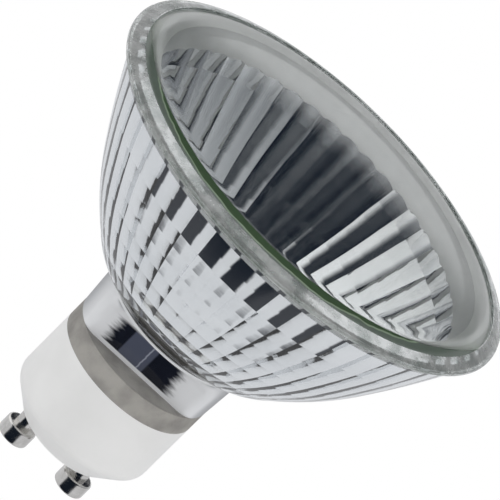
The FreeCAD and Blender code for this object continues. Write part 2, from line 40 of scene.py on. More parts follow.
mm = 0.001
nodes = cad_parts


# Shader sockets with arithmetic.
class Sock:
    def __init__(self, tree, out=None):
        self.tree = tree
        self.out = out

    def node(self, kind, settings=None, **sockets):
        # A socket is picked by its name, or by an i and its number.
        made = self.tree.nodes.new(kind)
        for name, value in (settings or {}).items():
            setattr(made, name, value)
        for name, value in sockets.items():
            numbered = name[0] == "i" and name[1:].isdigit()
            key = int(name[1:]) if numbered else name
            self.feed(made.inputs[key], value)
        return made

    def feed(self, socket, value):
        if isinstance(value, Sock):
            self.tree.links.new(value.out, socket)
        else:
            socket.default_value = value

    def take(self, made, key=0):
        return Sock(self.tree, made.outputs[key])

    def maths(self, operation, first, second=0.0):
        return self.take(self.node("ShaderNodeMath", {"operation": operation}, i0=first, i1=second))

    def __add__(self, other):
        return self.maths("ADD", self, other)

    def __radd__(self, other):
        return self.maths("ADD", other, self)

    def __sub__(self, other):
        return self.maths("SUBTRACT", self, other)

    def __rsub__(self, other):
        return self.maths("SUBTRACT", other, self)

    def __mul__(self, other):
        return self.maths("MULTIPLY", self, other)

    def __rmul__(self, other):
        return self.maths("MULTIPLY", other, self)

    def __truediv__(self, other):
        return self.maths("DIVIDE", self, other)

    def __rtruediv__(self, other):
        return self.maths("DIVIDE", other, self)

    def ramp(self, low, high, fromLow=0.0, fromHigh=1.0):
        # Goes smoothly from low to high while this value goes from fromLow to fromHigh.
        made = self.node("ShaderNodeMapRange", {"interpolation_type": "SMOOTHSTEP"},
                         i0=self, i1=fromLow, i2=fromHigh, i3=low, i4=high)
        return self.take(made)

    def mixed(self, first, second):
        # The first colour where this value is 0, the second where it is 1.
        made = self.node("ShaderNodeMix", {"data_type": "RGBA"}, i0=self, i6=first, i7=second)
        return self.take(made, 2)


def rgb(red, green, blue):
    return red, green, blue, 1.0


white = rgb(1.0, 1.0, 1.0)


def newMaterial(name):
    material = bpy.data.materials.new(name)
    material.use_nodes = True
    tree = material.node_tree
    return material, Sock(tree), tree.nodes["Principled BSDF"]


def setInputs(shader, bsdf, inputs):
    for name, value in inputs.items():
        shader.feed(bsdf.inputs[name], value)


def objectPoint(shader):
    return shader.take(shader.node("ShaderNodeTexCoord"), "Object")


def axisValues(shader, vector):
    parts = shader.node("ShaderNodeSeparateXYZ", None, i0=vector)
    return [shader.take(parts, index) for index in range(3)]


def edgeOn(shader):
    # 0 on a face seen straight on, 1 on one seen edge on.
    return shader.take(shader.node("ShaderNodeLayerWeight"), "Facing")


def noise(shader, point, scale, detail, roughness=0.5, stretch=None):
    if stretch:
        point = shader.take(shader.node("ShaderNodeMapping", None, Vector=point, Scale=stretch))
    made = shader.node("ShaderNodeTexNoise", None,
                       Vector=point, Scale=scale, Detail=detail, Roughness=roughness)
    return shader.take(made)


def bump(shader, bsdf, height, strength, distance):
    made = shader.node("ShaderNodeBump", None, Strength=strength, Distance=distance, Height=height)
    shader.feed(bsdf.inputs["Normal"], shader.take(made))


def absorbing(shader, colour, density):
    made = shader.node("ShaderNodeVolumeAbsorption", None, Color=colour, Density=density)
    shader.feed(shader.tree.nodes["Material Output"].inputs["Volume"], shader.take(made))


# Materials, with lengths in metres. First the octaves of the noise patterns, and the stretches of
# a noise's range over which the patterns change.
smoothDetail = 2.0
softDetail = 3.0
fineDetail = 4.0
noiseMiddle = 0.5
cloudSpan = (0.3, 0.7)
grainSpan = (0.35, 0.7)
mottleSpan = (0.35, 0.65)


def glassMaterial(name, settings):
    # Slightly wavy glass, mottled where it has a shade and tinted in depth where it has a tint.
    material, shader, bsdf = newMaterial(name)
    point = objectPoint(shader)
    colour = settings["colour"]
    if "shade" in settings:
        mottle = noise(shader, point, settings["mottleScale"], fineDetail, settings["mottleRoughness"])
        colour = mottle.ramp(0.0, 1.0, *mottleSpan).mixed(settings["shade"], colour)
    grain = noise(shader, point, settings["grainScale"], fineDetail)
    setInputs(shader, bsdf, {
        "Base Color": colour,
        "Transmission Weight": settings.get("clear", 1.0),
        "IOR": settings["ior"],
        "Roughness": grain.ramp(*settings["rough"], *grainSpan),
    })
    wave = noise(shader, point, settings["waveScale"], smoothDetail)
    bump(shader, bsdf, wave, settings["waveStrength"], settings["waveDepth"])
    if "tint" in settings:
        absorbing(shader, settings["tint"], settings["density"])
    return material


pressedGlass = {"ior": 1.5, "tint": rgb(0.62, 0.80, 0.74), "density": 9.0}
reflectorGlass = glassMaterial("reflectorGlass", {
    **pressedGlass,
    "colour": rgb(0.97, 0.985, 0.985),
    "grainScale": 900.0, "rough": (0.0, 0.015),
    "waveScale": 160.0, "waveStrength": 0.12, "waveDepth": 0.0002,
})
rimGlass = glassMaterial("rimGlass", {
    **pressedGlass,
    "colour": rgb(0.84, 0.86, 0.85), "clear": 0.68,
    "shade": rgb(0.40, 0.44, 0.42), "mottleScale": 300.0, "mottleRoughness": 0.6,
    "grainScale": 500.0, "rough": (0.08, 0.35),
    "waveScale": 500.0, "waveStrength": 0.45, "waveDepth": 0.0003,
})
lensGlass = glassMaterial("lensGlass", {
    "colour": rgb(0.985, 0.995, 0.99), "ior": 1.5, "tint": rgb(0.50, 0.72, 0.50), "density": 8.0,
    "grainScale": 900.0, "rough": (0.0, 0.01),
    "waveScale": 60.0, "waveStrength": 0.04, "waveDepth": 0.0002,
})
quartzGlass = glassMaterial("quartzGlass", {
    "colour": rgb(0.98, 0.985, 0.99), "ior": 1.46,
    "grainScale": 1500.0, "rough": (0.0, 0.01),
    "waveScale": 220.0, "waveStrength": 0.05, "waveDepth": 0.0002,
})


def solidMaterial(name, settings):
    # A cloudy pattern varies colour and roughness, and a finer grain gives the bump.
    material, shader, bsdf = newMaterial(name)
    point = objectPoint(shader)
    cloud = noise(shader, point, settings["cloudScale"], settings["cloudDetail"])
    setInputs(shader, bsdf, {
        "Base Color": cloud.ramp(0.0, 1.0, *cloudSpan).mixed(settings["dark"], settings["light"]),
        "Metallic": settings["metal"],
        "Roughness": cloud.ramp(*settings["rough"], *cloudSpan),
    })
    grain = noise(shader, point, settings["grainScale"], settings["grainDetail"],
                  stretch=settings.get("grainStretch"))
    bump(shader, bsdf, grain, settings["grainStrength"], settings["grainDepth"])
    return material


# What matte pieces, mirrors and turned metal have in common.
matte = {"metal": 0.0, "cloudDetail": 5.0, "grainDetail": fineDetail}
mirror = {"metal": 1.0, "cloudDetail": fineDetail, "grainDetail": smoothDetail,
          "grainStretch": (1.0, 1.0, 3.0)}
turnedMetal = {"metal": 1.0, "cloudDetail": fineDetail, "grainDetail": smoothDetail,
               "grainStretch": (0.05, 0.05, 1.0)}

mirrorCoat = solidMaterial("mirrorCoat", {
    **mirror,
    "cloudScale": 90.0, "dark": rgb(0.82, 0.83, 0.85), "light": rgb(0.90, 0.905, 0.92),
    "rough": (0.02, 0.06), "grainScale": 260.0, "grainStrength": 0.1, "grainDepth": 0.0001,
})
ceramicBody = solidMaterial("ceramicBody", {
    **matte,
    "cloudScale": 120.0, "dark": rgb(0.86, 0.86, 0.855), "light": rgb(0.91, 0.91, 0.905),
    "rough": (0.30, 0.42), "grainScale": 1400.0, "grainStrength": 0.10, "grainDepth": 0.0001,
})
greyCement = solidMaterial("greyCement", {
    **matte,
    "cloudScale": 260.0, "dark": rgb(0.26, 0.25, 0.235), "light": rgb(0.41, 0.395, 0.37),
    "rough": (0.75, 0.95), "grainScale": 2200.0, "grainStrength": 0.5, "grainDepth": 0.0002,
})
whiteCement = solidMaterial("whiteCement", {
    **matte,
    "cloudScale": 300.0, "dark": rgb(0.66, 0.64, 0.60), "light": rgb(0.80, 0.79, 0.76),
    "rough": (0.8, 0.95), "grainScale": 2400.0, "grainStrength": 0.6, "grainDepth": 0.0002,
})
paleRubber = solidMaterial("paleRubber", {
    **matte,
    "cloudScale": 200.0, "dark": rgb(0.76, 0.77, 0.77), "light": rgb(0.84, 0.85, 0.85),
    "rough": (0.3, 0.5), "grainScale": 1200.0, "grainStrength": 0.15, "grainDepth": 0.0001,
})
# The skirt's rubber, a lighter copy of the ring's: painted light.
skirtRubberPaintedLight = solidMaterial("skirtRubberPaintedLight", {
    **matte,
    "cloudScale": 260.0, "dark": rgb(0.84, 0.85, 0.85), "light": rgb(0.92, 0.93, 0.93),
    "rough": (0.3, 0.5), "grainScale": 1200.0, "grainStrength": 0.15, "grainDepth": 0.0001,
})
groundEdge = solidMaterial("groundEdge", {
    **matte,
    "cloudScale": 300.0, "dark": rgb(0.52, 0.57, 0.54), "light": rgb(0.66, 0.70, 0.67),
    "rough": (0.3, 0.5), "grainScale": 1500.0, "grainStrength": 0.2, "grainDepth": 0.0001,
})
nickel = solidMaterial("nickel", {
    **turnedMetal,
    "cloudScale": 500.0, "dark": rgb(0.58, 0.57, 0.55), "light": rgb(0.74, 0.73, 0.71),
    "rough": (0.12, 0.24), "grainScale": 3000.0, "grainStrength": 0.12, "grainDepth": 0.0001,
})
wireMetal = solidMaterial("wireMetal", {
    **turnedMetal,
    "cloudScale": 700.0, "dark": rgb(0.42, 0.41, 0.40), "light": rgb(0.62, 0.61, 0.60),
    "rough": (0.25, 0.4), "grainScale": 3000.0, "grainStrength": 0.1, "grainDepth": 0.0001,
})
filamentMetal = solidMaterial("filamentMetal", {
    **turnedMetal,
    "cloudScale": 900.0, "dark": rgb(0.16, 0.16, 0.17), "light": rgb(0.30, 0.30, 0.32),
    "rough": (0.35, 0.55), "grainScale": 4000.0, "grainStrength": 0.1, "grainDepth": 0.0001,
})
print("shared materials made")


def finishPiece(name, mesh, materials, replaced):
    piece = bpy.data.objects.new(name, mesh)
    bpy.context.scene.collection.objects.link(piece)
    for material in materials:
        mesh.materials.append(material)
    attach(piece, "root")
    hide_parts(replaced)


def arcRun(start, end, radius, steps):
    # Points from start up to, not including, end, on an arc that bulges to the right of the way.
    a, b = Vector(start), Vector(end)
    way = b - a
    side = Vector((-way.y, way.x)).normalized()
    centre = (a + b) / 2 + side * math.sqrt(radius * radius - way.length_squared / 4)
    first = math.atan2(a.y - centre.y, a.x - centre.x)
    last = math.atan2(b.y - centre.y, b.x - centre.x)
    run = []
    for step in range(steps):
        angle = first + (last - first) * step / steps
        run.append((centre.x + radius * math.cos(angle), centre.y + radius * math.sin(angle)))
    return run


mergeDistance = 2e-7  # metres


def spinProfile(bm, profile, steps):
    # Spins (radius, height, zone) points in millimetres about Z; the zone stays on the vertices.
    zone = bm.verts.layers.int.new("zone")
    verts = []
    for r, z, kind in profile:
        vert = bm.verts.new((r * mm, 0.0, z * mm))
        vert[zone] = kind
        verts.append(vert)
    edges = [bm.edges.new(pair) for pair in zip(verts, verts[1:])]
    bmesh.ops.spin(bm, geom=verts + edges, cent=(0, 0, 0), axis=(0, 0, 1), angle=2 * math.pi,
                   steps=steps, use_merge=True)
    bmesh.ops.remove_doubles(bm, verts=bm.verts, dist=mergeDistance)
    return zone


levelSlack = 1e-7  # metres between the ends of a level edge
heightSlack = 1e-6  # metres between an edge and a height that it lies on


def smoothMesh(bm, name, limit, sharpHeights=()):
    # Smooth faces, with sharp edges above the angle limit and along the given heights.
    bmesh.ops.recalc_face_normals(bm, faces=bm.faces)
    limit = math.radians(limit)
    for face in bm.faces:
        face.smooth = True
    for edge in bm.edges:
        first, second = edge.verts[0].co.z, edge.verts[1].co.z
        level = abs(first - second) < levelSlack
        kept = level and any(abs(first - height * mm) < heightSlack for height in sharpHeights)
        edge.smooth = edge.calc_face_angle(0.0) < limit and not kept
    mesh = bpy.data.meshes.new(name)
    bm.to_mesh(mesh)
    bm.free()
    return mesh


# Glass bowl with the fluted mirror inside, in millimetres; points are (radius, height).
bowl = {
    # The outside, from the foot up, and the rim over to the seat of the lens.
    "foot": (10.85, 16.4), "neckTop": (11.35, 23.4), "heel": (12.2, 24.2), "heelCurve": 10.4,
    "low": (17.15, 27.6), "lowCurve": 45.0, "middle": (24.65, 37.6), "topCurve": 127.0, "top": (30.75, 49.65),
    "rim": [(31.25, 49.80), (31.62, 49.98), (31.75, 50.18), (31.75, 50.52), (31.66, 50.72), (31.40, 50.87),
            (30.60, 51.22), (29.95, 51.50), (29.74, 51.56), (29.65, 51.48)],
    "seat": (29.65, 49.45), "mouth": (28.4, 49.45), "ledge": 0.3,
    # The mirror: flutes in bands, whose wall thickens over the taper below their top.
    "wall": 2.4, "fluteTop": 48.7, "floor": 26.3, "taperHeight": 5.0, "taperDepth": 0.5,
    "flutes": 48, "bands": 9, "pillow": 0.005,
    "turn": -0.9,  # degrees
    "swell": 0.0066,  # share of the radius
    # The neck: flats outside, and the slot for the capsule, whose cutter reaches past both ends.
    "flat": 6.5, "flatTop": 20.6, "blend": 2.4, "corner": 1.6,
    "slotLength": 16.2, "slotWidth": 8.4, "slotCorner": 4.1, "cutterFoot": 14.0, "cutterRise": 1.5,
    # Steps of the mesh, and the angle in degrees past which an edge is sharp.
    "heelSteps": 16, "lowSteps": 20, "topSteps": 20, "neckSteps": 40, "slotSteps": 8,
    "acrossSteps": 10, "upSteps": 6, "sharpAngle": 14.0,
}


def neckMaterial(name, settings):
    # Satin silver coat. On the front and back flats it carries a painted dark reflection, with a lighter
    # patch and a streak that are painted reflection too, and it has painted shade where the coat turns edge
    # on.
    material, shader, bsdf = newMaterial(name)
    point = objectPoint(shader)
    x, y, z = axisValues(shader, point)
    across = x - settings["middle"]
    ragged = noise(shader, point, settings["raggedScale"], fineDetail, settings["raggedRoughness"],
                   settings["raggedStretch"])
    ragged = (ragged - noiseMiddle) * settings["ragged"]
    inWidth = (shader.maths("ABSOLUTE", across) + ragged).ramp(1.0, 0.0, *settings["paintedReflectionEdge"])
    aboveFoot = z.ramp(0.0, 1.0, *settings["footEdge"])
    belowHeel = z.ramp(1.0, 0.0, *settings["heelEdge"])
    onFlat = shader.maths("ABSOLUTE", y).ramp(1.0, 0.0, *settings["flatEdge"])
    # Where the painted dark reflection lies: the middle of each flat, with ragged edges.
    paintedReflection = inWidth * aboveFoot * belowHeel * onFlat
    left, right = settings["paintedPatch"]
    paintedPatch = across.ramp(0.0, 1.0, left, left + settings["paintedPatchSoft"])
    paintedPatch = paintedPatch * across.ramp(1.0, 0.0, right, right + settings["paintedPatchSoft"])
    offPaintedStreak = across - settings["paintedStreak"] - ragged * settings["paintedStreakWander"]
    paintedStreak = shader.maths("ABSOLUTE", offPaintedStreak).ramp(1.0, 0.0, *settings["paintedStreakEdge"])
    # The painted reflection's colour: dark, with a lighter patch and a lighter streak, both also painted
    # reflection.
    inside = paintedPatch.mixed(settings["paintedDarkReflection"], settings["paintedPatchColour"])
    inside = paintedStreak.mixed(inside, settings["paintedStreakColour"])
    cloud = noise(shader, point, settings["cloudScale"], softDetail, stretch=settings["cloudStretch"])
    silver = cloud.mixed(settings["dark"], settings["light"])
    # Painted shade: the coat darkens towards its side colour where it turns edge on.
    turnedShade = edgeOn(shader).ramp(0.0, 1.0, *settings["turnEdge"])
    silver = turnedShade.mixed(silver, settings["side"])
    setInputs(shader, bsdf, {
        "Base Color": paintedReflection.mixed(silver, inside),
        "Metallic": paintedReflection.ramp(settings["coatMetal"], 0.0),
        "Roughness": paintedReflection.ramp(settings["coatRough"], settings["paintedReflectionRough"]),
    })
    bump(shader, bsdf, cloud, settings["cloudStrength"], settings["cloudDepth"])
    return material


# The neck's silver coat, with its painted dark reflection and painted shade.
neckSilverAndPaintedLight = neckMaterial("neckSilverAndPaintedLight", {
    "middle": -0.0008, "paintedReflectionEdge": (0.0045, 0.0064), "footEdge": (0.01690, 0.01705),
    "heelEdge": (0.0208, 0.0214), "flatEdge": (0.0080, 0.0086),
    "raggedScale": 1100.0, "ragged": 0.0034, "raggedRoughness": 0.6, "raggedStretch": (0.25, 1.0, 1.6),
    "paintedDarkReflection": rgb(0.010, 0.012, 0.020), "paintedReflectionRough": 0.08,
    "paintedPatch": (-0.0031, 0.0010), "paintedPatchSoft": 0.0003, "paintedPatchColour": rgb(0.085, 0.095, 0.135),
    "paintedStreak": 0.0003, "paintedStreakEdge": (0.00006, 0.00014), "paintedStreakWander": 0.1,
    "paintedStreakColour": rgb(0.30, 0.32, 0.38),
    "cloudScale": 260.0, "cloudStretch": (1.0, 1.0, 0.3), "cloudStrength": 0.1, "cloudDepth": 0.0001,
    "dark": rgb(0.74, 0.75, 0.77), "light": rgb(0.86, 0.87, 0.89), "coatMetal": 0.05, "coatRough": 0.32,
    "turnEdge": (0.45, 0.95), "side": rgb(0.24, 0.25, 0.27),
})


def mouthMaterial(name, settings):
    # A mirror coat at the mouth, painted: a painted highlight over each flute, with a painted dark reflection
    # in the gaps between.
    material, shader, bsdf = newMaterial(name)
    point = objectPoint(shader)
    x, y = axisValues(shader, point)[:2]
    angle = shader.maths("ARCTAN2", y, x) - math.radians(bowl["turn"])
    ragged = (noise(shader, point, settings["raggedScale"], softDetail) - noiseMiddle) * settings["ragged"]
    crest = shader.maths("COSINE", angle * bowl["flutes"] + math.pi) + ragged
    paintedHighlight = crest.ramp(0.0, 1.0, *settings["paintedHighlightEdge"])
    grain = noise(shader, point, settings["grainScale"], softDetail)
    setInputs(shader, bsdf, {
        "Base Color": paintedHighlight.mixed(settings["paintedDarkGap"], settings["paintedHighlight"]),
        "Metallic": settings["metal"],
        "Roughness": grain.ramp(*settings["rough"], *cloudSpan),
    })
    return material


# The painted highlights and painted dark reflection of the mirror at the mouth.
mouthPaintedHighlights = mouthMaterial("mouthPaintedHighlights", {
    "paintedHighlightEdge": (-0.85, -0.5), "raggedScale": 500.0, "ragged": 0.8,
    "paintedDarkGap": rgb(0.16, 0.17, 0.19), "paintedHighlight": rgb(0.96, 0.97, 0.98),
    "metal": 0.35, "grainScale": 900.0, "rough": (0.35, 0.55),
})

bowlMaterials = [reflectorGlass, mirrorCoat, rimGlass, neckSilverAndPaintedLight, mouthPaintedHighlights]
slotGlass, slotMirror, slotRim, slotNeck, slotMouth = range(5)
zoneGlass, zoneMirror, zoneFlute, zoneRim, zoneNeck, zoneMouth = range(6)


def bowlOutside():
    wall = arcRun(bowl["heel"], bowl["low"], bowl["heelCurve"], bowl["heelSteps"])
    wall += arcRun(bowl["low"], bowl["middle"], bowl["lowCurve"], bowl["lowSteps"])
    wall += arcRun(bowl["middle"], bowl["top"], bowl["topCurve"], bowl["topSteps"])
    return wall + [bowl["top"]]


def cuspRadius():
    # Radius of the cusps by height, one wall inside the outer wall.
    wall = bowlOutside()
    inner = []
    for index, (r, z) in enumerate(wall):
        before = wall[max(index - 1, 0)]
        after = wall[min(index + 1, len(wall) - 1)]
        way = Vector((after[0] - before[0], after[1] - before[1])).normalized()
        inner.append((r - way.y * bowl["wall"], z + way.x * bowl["wall"]))

    def radius(height):
        risen = max(0.0, height - bowl["fluteTop"] + bowl["taperHeight"])
        taper = bowl["taperDepth"] * risen / bowl["taperHeight"]
        for low, high in zip(inner, inner[1:]):
            if low[1] <= height <= high[1]:
                return low[0] + (high[0] - low[0]) * (height - low[1]) / (high[1] - low[1]) - taper
        return inner[0][0] if height < inner[0][1] else inner[-1][0] - taper
    return radius


def bandHeights():
    span = (bowl["fluteTop"] - bowl["floor"]) / bowl["bands"]
    return [bowl["fluteTop"] - span * band for band in range(bowl["bands"] + 1)]


def fluteRows():
    # Rows of the mirror from the top down; each band bulges in by the pillow at its middle.
    radius = cuspRadius()
    heights = bandHeights()
    rows = []
    for high, low in zip(heights, heights[1:]):
        for step in range(bowl["upSteps"]):
            share = step / bowl["upSteps"]
            r = radius(high) + (radius(low) - radius(high)) * share
            rows.append((r - bowl["pillow"] * 4 * share * (1 - share), high + (low - high) * share))
    return rows + [(radius(heights[-1]), heights[-1])]


def acrossFlute(vert):
    # Where a vertex lies across its flute, from -1 at one cusp to 1 at the next.
    half = math.pi / bowl["flutes"]
    return ((math.atan2(vert.co.y, vert.co.x) % (2 * half)) - half) / half


def fluteFactor(share):
    # How far the wall lies in from the cusp circle: a chord that swells towards the axis.
    half = math.pi / bowl["flutes"]
    return math.cos(half) / math.cos(share * half) - bowl["swell"] * (1 - share * share)


def turnToFlutes(bm):
    turn = Matrix.Rotation(math.radians(bowl["turn"]), 3, "Z")
    bmesh.ops.rotate(bm, verts=bm.verts, cent=(0, 0, 0), matrix=turn)


def neckRows():
    foot, top = Vector(bowl["foot"]), Vector(bowl["neckTop"])
    return [tuple(foot.lerp(top, step / bowl["neckSteps"])) for step in range(bowl["neckSteps"] + 1)]


def flattened(y, z):
    # The neck's flats: a limit on y that rounds off into the heel above and into the round at each side.
    above = (z - bowl["flatTop"]) / bowl["blend"]
    if above >= 1:
        return y
    limit = bowl["flat"] + bowl["blend"] * (1 - math.sqrt(1 - max(0.0, above) ** 2))
    near = max(0.0, 1 - abs(abs(y) - limit) / bowl["corner"])
    return math.copysign(min(abs(y), limit) - near * near * bowl["corner"] / 4, y)


def faceSlot(zones):
    # The material slot of a face, from the zones at its corners.
    if zones <= {zoneMirror, zoneFlute}:
        return slotMirror
    if zones == {zoneRim}:
        return slotRim
    if zones == {zoneNeck}:
        return slotNeck
    if zoneMouth in zones and zoneGlass not in zones:
        return slotMouth
    return slotGlass


def bowlBlank():
    # The whole bowl before its slot is cut: up the outside, over the rim and down the mirror.
    rows = fluteRows()
    profile = [(0.0, bowl["foot"][1], zoneNeck)]
    profile += [(r, z, zoneNeck) for r, z in neckRows()]
    profile += [(r, z, zoneGlass) for r, z in bowlOutside()]
    profile += [(r, z, zoneRim) for r, z in bowl["rim"]]
    profile += [(*bowl["seat"], zoneGlass), (*bowl["mouth"], zoneMouth)]
    profile += [(rows[0][0] + bowl["ledge"], bowl["fluteTop"], zoneMouth)]
    profile += [(r, z, zoneFlute) for r, z in rows]
    profile += [(0.0, bowl["floor"], zoneMirror)]
    bm = bmesh.new()
    zone = spinProfile(bm, profile, bowl["flutes"] * bowl["acrossSteps"])
    for vert in bm.verts:
        if vert[zone] == zoneFlute:
            factor = fluteFactor(acrossFlute(vert))
            vert.co.x *= factor
            vert.co.y *= factor
    turnToFlutes(bm)
    for vert in bm.verts:
        if vert[zone] == zoneNeck:
            vert.co.y = flattened(vert.co.y / mm, vert.co.z / mm) * mm
    for face in bm.faces:
        face.material_index = faceSlot({vert[zone] for vert in face.verts})
    bmesh.ops.recalc_face_normals(bm, faces=bm.faces)
    return bm


def slotCutter():
    # An upright prism with round corners, from below the foot to above the floor of the bowl.
    corner = bowl["slotCorner"]
    toSide, toFront = bowl["slotLength"] / 2 - corner, bowl["slotWidth"] / 2 - corner
    bm = bmesh.new()
    outline = []
    for cx, cy, start in ((1, 1, 0), (-1, 1, 90), (-1, -1, 180), (1, -1, 270)):
        for step in range(bowl["slotSteps"] + 1):
            angle = math.radians(start + 90 * step / bowl["slotSteps"])
            x = cx * toSide + corner * math.cos(angle)
            y = cy * toFront + corner * math.sin(angle)
            outline.append(bm.verts.new((x * mm, y * mm, bowl["cutterFoot"] * mm)))
    foot = bm.faces.new(outline)
    pushed = bmesh.ops.extrude_face_region(bm, geom=[foot], use_keep_orig=True)["geom"]
    far = [item for item in pushed if isinstance(item, bmesh.types.BMVert)]
    rise = bowl["floor"] + bowl["cutterRise"] - bowl["cutterFoot"]
    bmesh.ops.translate(bm, verts=far, vec=(0, 0, rise * mm))
    for face in bm.faces:
        face.material_index = slotMirror
    bmesh.ops.recalc_face_normals(bm, faces=bm.faces)
    return bm


def cutMesh(blank, cutter):
    # The blank less the cutter, as a new mesh.
    pieces = []
    for name, bm in (("blank", blank), ("cutter", cutter)):
        mesh = bpy.data.meshes.new(name)
        bm.to_mesh(mesh)
        bm.free()
        for material in bowlMaterials:
            mesh.materials.append(material)
        piece = bpy.data.objects.new(name, mesh)
        bpy.context.scene.collection.objects.link(piece)
        pieces.append(piece)
    cut = pieces[0].modifiers.new("cut", "BOOLEAN")
    cut.object = pieces[1]
    cut.operation = "DIFFERENCE"
    cut.solver = "EXACT"
    bpy.context.view_layer.update()
    depsgraph = bpy.context.evaluated_depsgraph_get()
    mesh = bpy.data.meshes.new_from_object(pieces[0].evaluated_get(depsgraph))
    for piece in pieces:
        bpy.data.objects.remove(piece)
    return mesh


def makeBowl():
    bm = bmesh.new()
    bm.from_mesh(cutMesh(bowlBlank(), slotCutter()))
    mesh = smoothMesh(bm, "reflectorBowl", bowl["sharpAngle"], bandHeights())
    finishPiece("reflectorBowl", mesh, bowlMaterials, "reflector")


makeBowl()
print("bowl made")

# Front lens, a slightly domed disc on a flat foot, with a ground edge; millimetres and degrees.
lens = {
    "under": 49.6, "radius": 29.6, "edge": 51.16, "front": 52.7, "flat": 6.0, "turn": (27.2, 51.80),
    "foot": 25.3, "hollow": 0.74, "domeCurve": 251.4, "edgeCurve": 7.0, "ease": 0.22,
    "steps": 256, "edgeSteps": 12, "domeSteps": 24, "sharpAngle": 25.0,
    "groundBelow": 0.5,  # faces whose normal rises less than this are ground
}


def makeLens():
    under, radius, flat = lens["under"], lens["radius"], lens["flat"]
    hollowTop = under + lens["hollow"]
    hollow = arcRun((lens["foot"], under), (flat, hollowTop), lens["domeCurve"], lens["domeSteps"])
    profile = [(0.0, hollowTop), (flat, hollowTop)] + hollow[::-1]
    profile += [(radius - lens["ease"], under), (radius, under + lens["ease"])]
    profile += arcRun((radius, lens["edge"]), lens["turn"], lens["edgeCurve"], lens["edgeSteps"])
    profile += arcRun(lens["turn"], (flat, lens["front"]), lens["domeCurve"], lens["domeSteps"])
    profile += [(flat, lens["front"]), (0.0, lens["front"])]
    bm = bmesh.new()
    spinProfile(bm, [(r, z, 0) for r, z in profile], lens["steps"])
    bmesh.ops.recalc_face_normals(bm, faces=bm.faces)
    for face in bm.faces:
        face.material_index = 1 if abs(face.normal.z) < lens["groundBelow"] else 0
    mesh = smoothMesh(bm, "lensDisc", lens["sharpAngle"])
    finishPiece("lensDisc", mesh, [lensGlass, groundEdge], "front_lens")


makeLens()
print("lens made")

# Gasket under the lens: a flat ring with a flared skirt that reaches down to the flutes; the skirt's rubber
# is painted lighter than the ring's, painted light.
gasket = {
    "skirtInner": 25.55, "skirtOuter": 25.75, "skirtLow": 46.2, "flare": 1.0, "scallop": 0.35,
    "seat": 49.45, "top": 49.58, "outer": 29.47, "acrossSteps": 6, "sharpAngle": 40.0,
    "flatAbove": 0.9,  # faces whose normal rises more than this belong to the ring
}


def makeGasket():
    low, seat, top = gasket["skirtLow"], gasket["seat"], gasket["top"]
    inner, skirt, outer = gasket["skirtInner"], gasket["skirtOuter"], gasket["outer"]
    flare = gasket["flare"]
    # Zone 1 marks the skirt's lower edge, which is scalloped.
    profile = [(inner, low, 1), (skirt, low, 1), (skirt + flare, seat, 0), (outer, seat, 0),
               (outer, top, 0), (inner + flare, top, 0), (inner, low, 1)]
    bm = bmesh.new()
    zone = spinProfile(bm, profile, bowl["flutes"] * gasket["acrossSteps"])
    for vert in bm.verts:
        if vert[zone]:
            share = acrossFlute(vert)
            vert.co.z += gasket["scallop"] * (1 - share * share) * mm
    turnToFlutes(bm)
    bmesh.ops.recalc_face_normals(bm, faces=bm.faces)
    for face in bm.faces:
        face.material_index = 0 if abs(face.normal.z) > gasket["flatAbove"] else 1
    mesh = smoothMesh(bm, "lensGasket", gasket["sharpAngle"])
    finishPiece("lensGasket", mesh, [paleRubber, skirtRubberPaintedLight], "lens_seal")


makeGasket()
print("gasket made")


def filmMaterial(name, settings):
    # Clear glue: seen steeply it vanishes; seen flat through the glass it shows green, a painted reflection
    # of light led through the lens, with a pale wavy line that is a painted highlight.
    material, shader, bsdf = newMaterial(name)
    point = objectPoint(shader)
    flat = shader.node("ShaderNodeVectorMath", {"operation": "MULTIPLY"}, i0=point, i1=(1.0, 1.0, 0.0))
    length = shader.node("ShaderNodeVectorMath", {"operation": "LENGTH"}, i0=shader.take(flat))
    wave = noise(shader, point, settings["waveScale"], softDetail) - noiseMiddle
    offset = shader.take(length, "Value") - settings["lineRadius"] - wave * settings["waveWidth"]
    outside = offset.ramp(0.0, 1.0, -settings["soft"], settings["soft"])
    paintedHighlightLine = shader.maths("ABSOLUTE", offset).ramp(1.0, 0.0, *settings["lineEdge"])
    body = outside.mixed(settings["inside"], settings["outside"])
    grain = noise(shader, point, settings["grainScale"], fineDetail)
    setInputs(shader, bsdf, {
        "Base Color": paintedHighlightLine.mixed(body, settings["paintedHighlightLine"]),
        "Roughness": grain.ramp(*settings["rough"], *cloudSpan),
        "Alpha": edgeOn(shader).ramp(0.0, 1.0, *settings["greenEdge"]),
    })
    return material


# The glue's painted green reflection and painted highlight line.
glueFilmPaintedReflection = filmMaterial("glueFilmPaintedReflection", {
    "lineRadius": 0.0269, "lineEdge": (0.000064, 0.00016), "waveScale": 160.0, "waveWidth": 0.0016,
    "soft": 0.0001, "greenEdge": (0.254, 0.262), "grainScale": 900.0, "rough": (0.35, 0.6),
    "inside": rgb(0.085, 0.155, 0.070), "outside": rgb(0.20, 0.25, 0.21), "paintedHighlightLine": rgb(0.46, 0.58, 0.42),
})

# Film of glue on the foot of the lens, just inside the glass, carrying a painted reflection and highlight; in
# millimetres.
film = {"inner": 25.35, "outer": gasket["outer"], "low": 49.605, "top": 49.625, "sharpAngle": 40.0}


def makeFilm():
    inner, outer, low, top = film["inner"], film["outer"], film["low"], film["top"]
    corners = [(inner, low), (outer, low), (outer, top), (inner, top), (inner, low)]
    bm = bmesh.new()
    spinProfile(bm, [(r, z, 0) for r, z in corners], lens["steps"])
    mesh = smoothMesh(bm, "glueFilmPaintedReflection", film["sharpAngle"])
    finishPiece("glueFilmPaintedReflection", mesh, [glueFilmPaintedReflection], "lens_seal")


makeFilm()
print("glue film made")

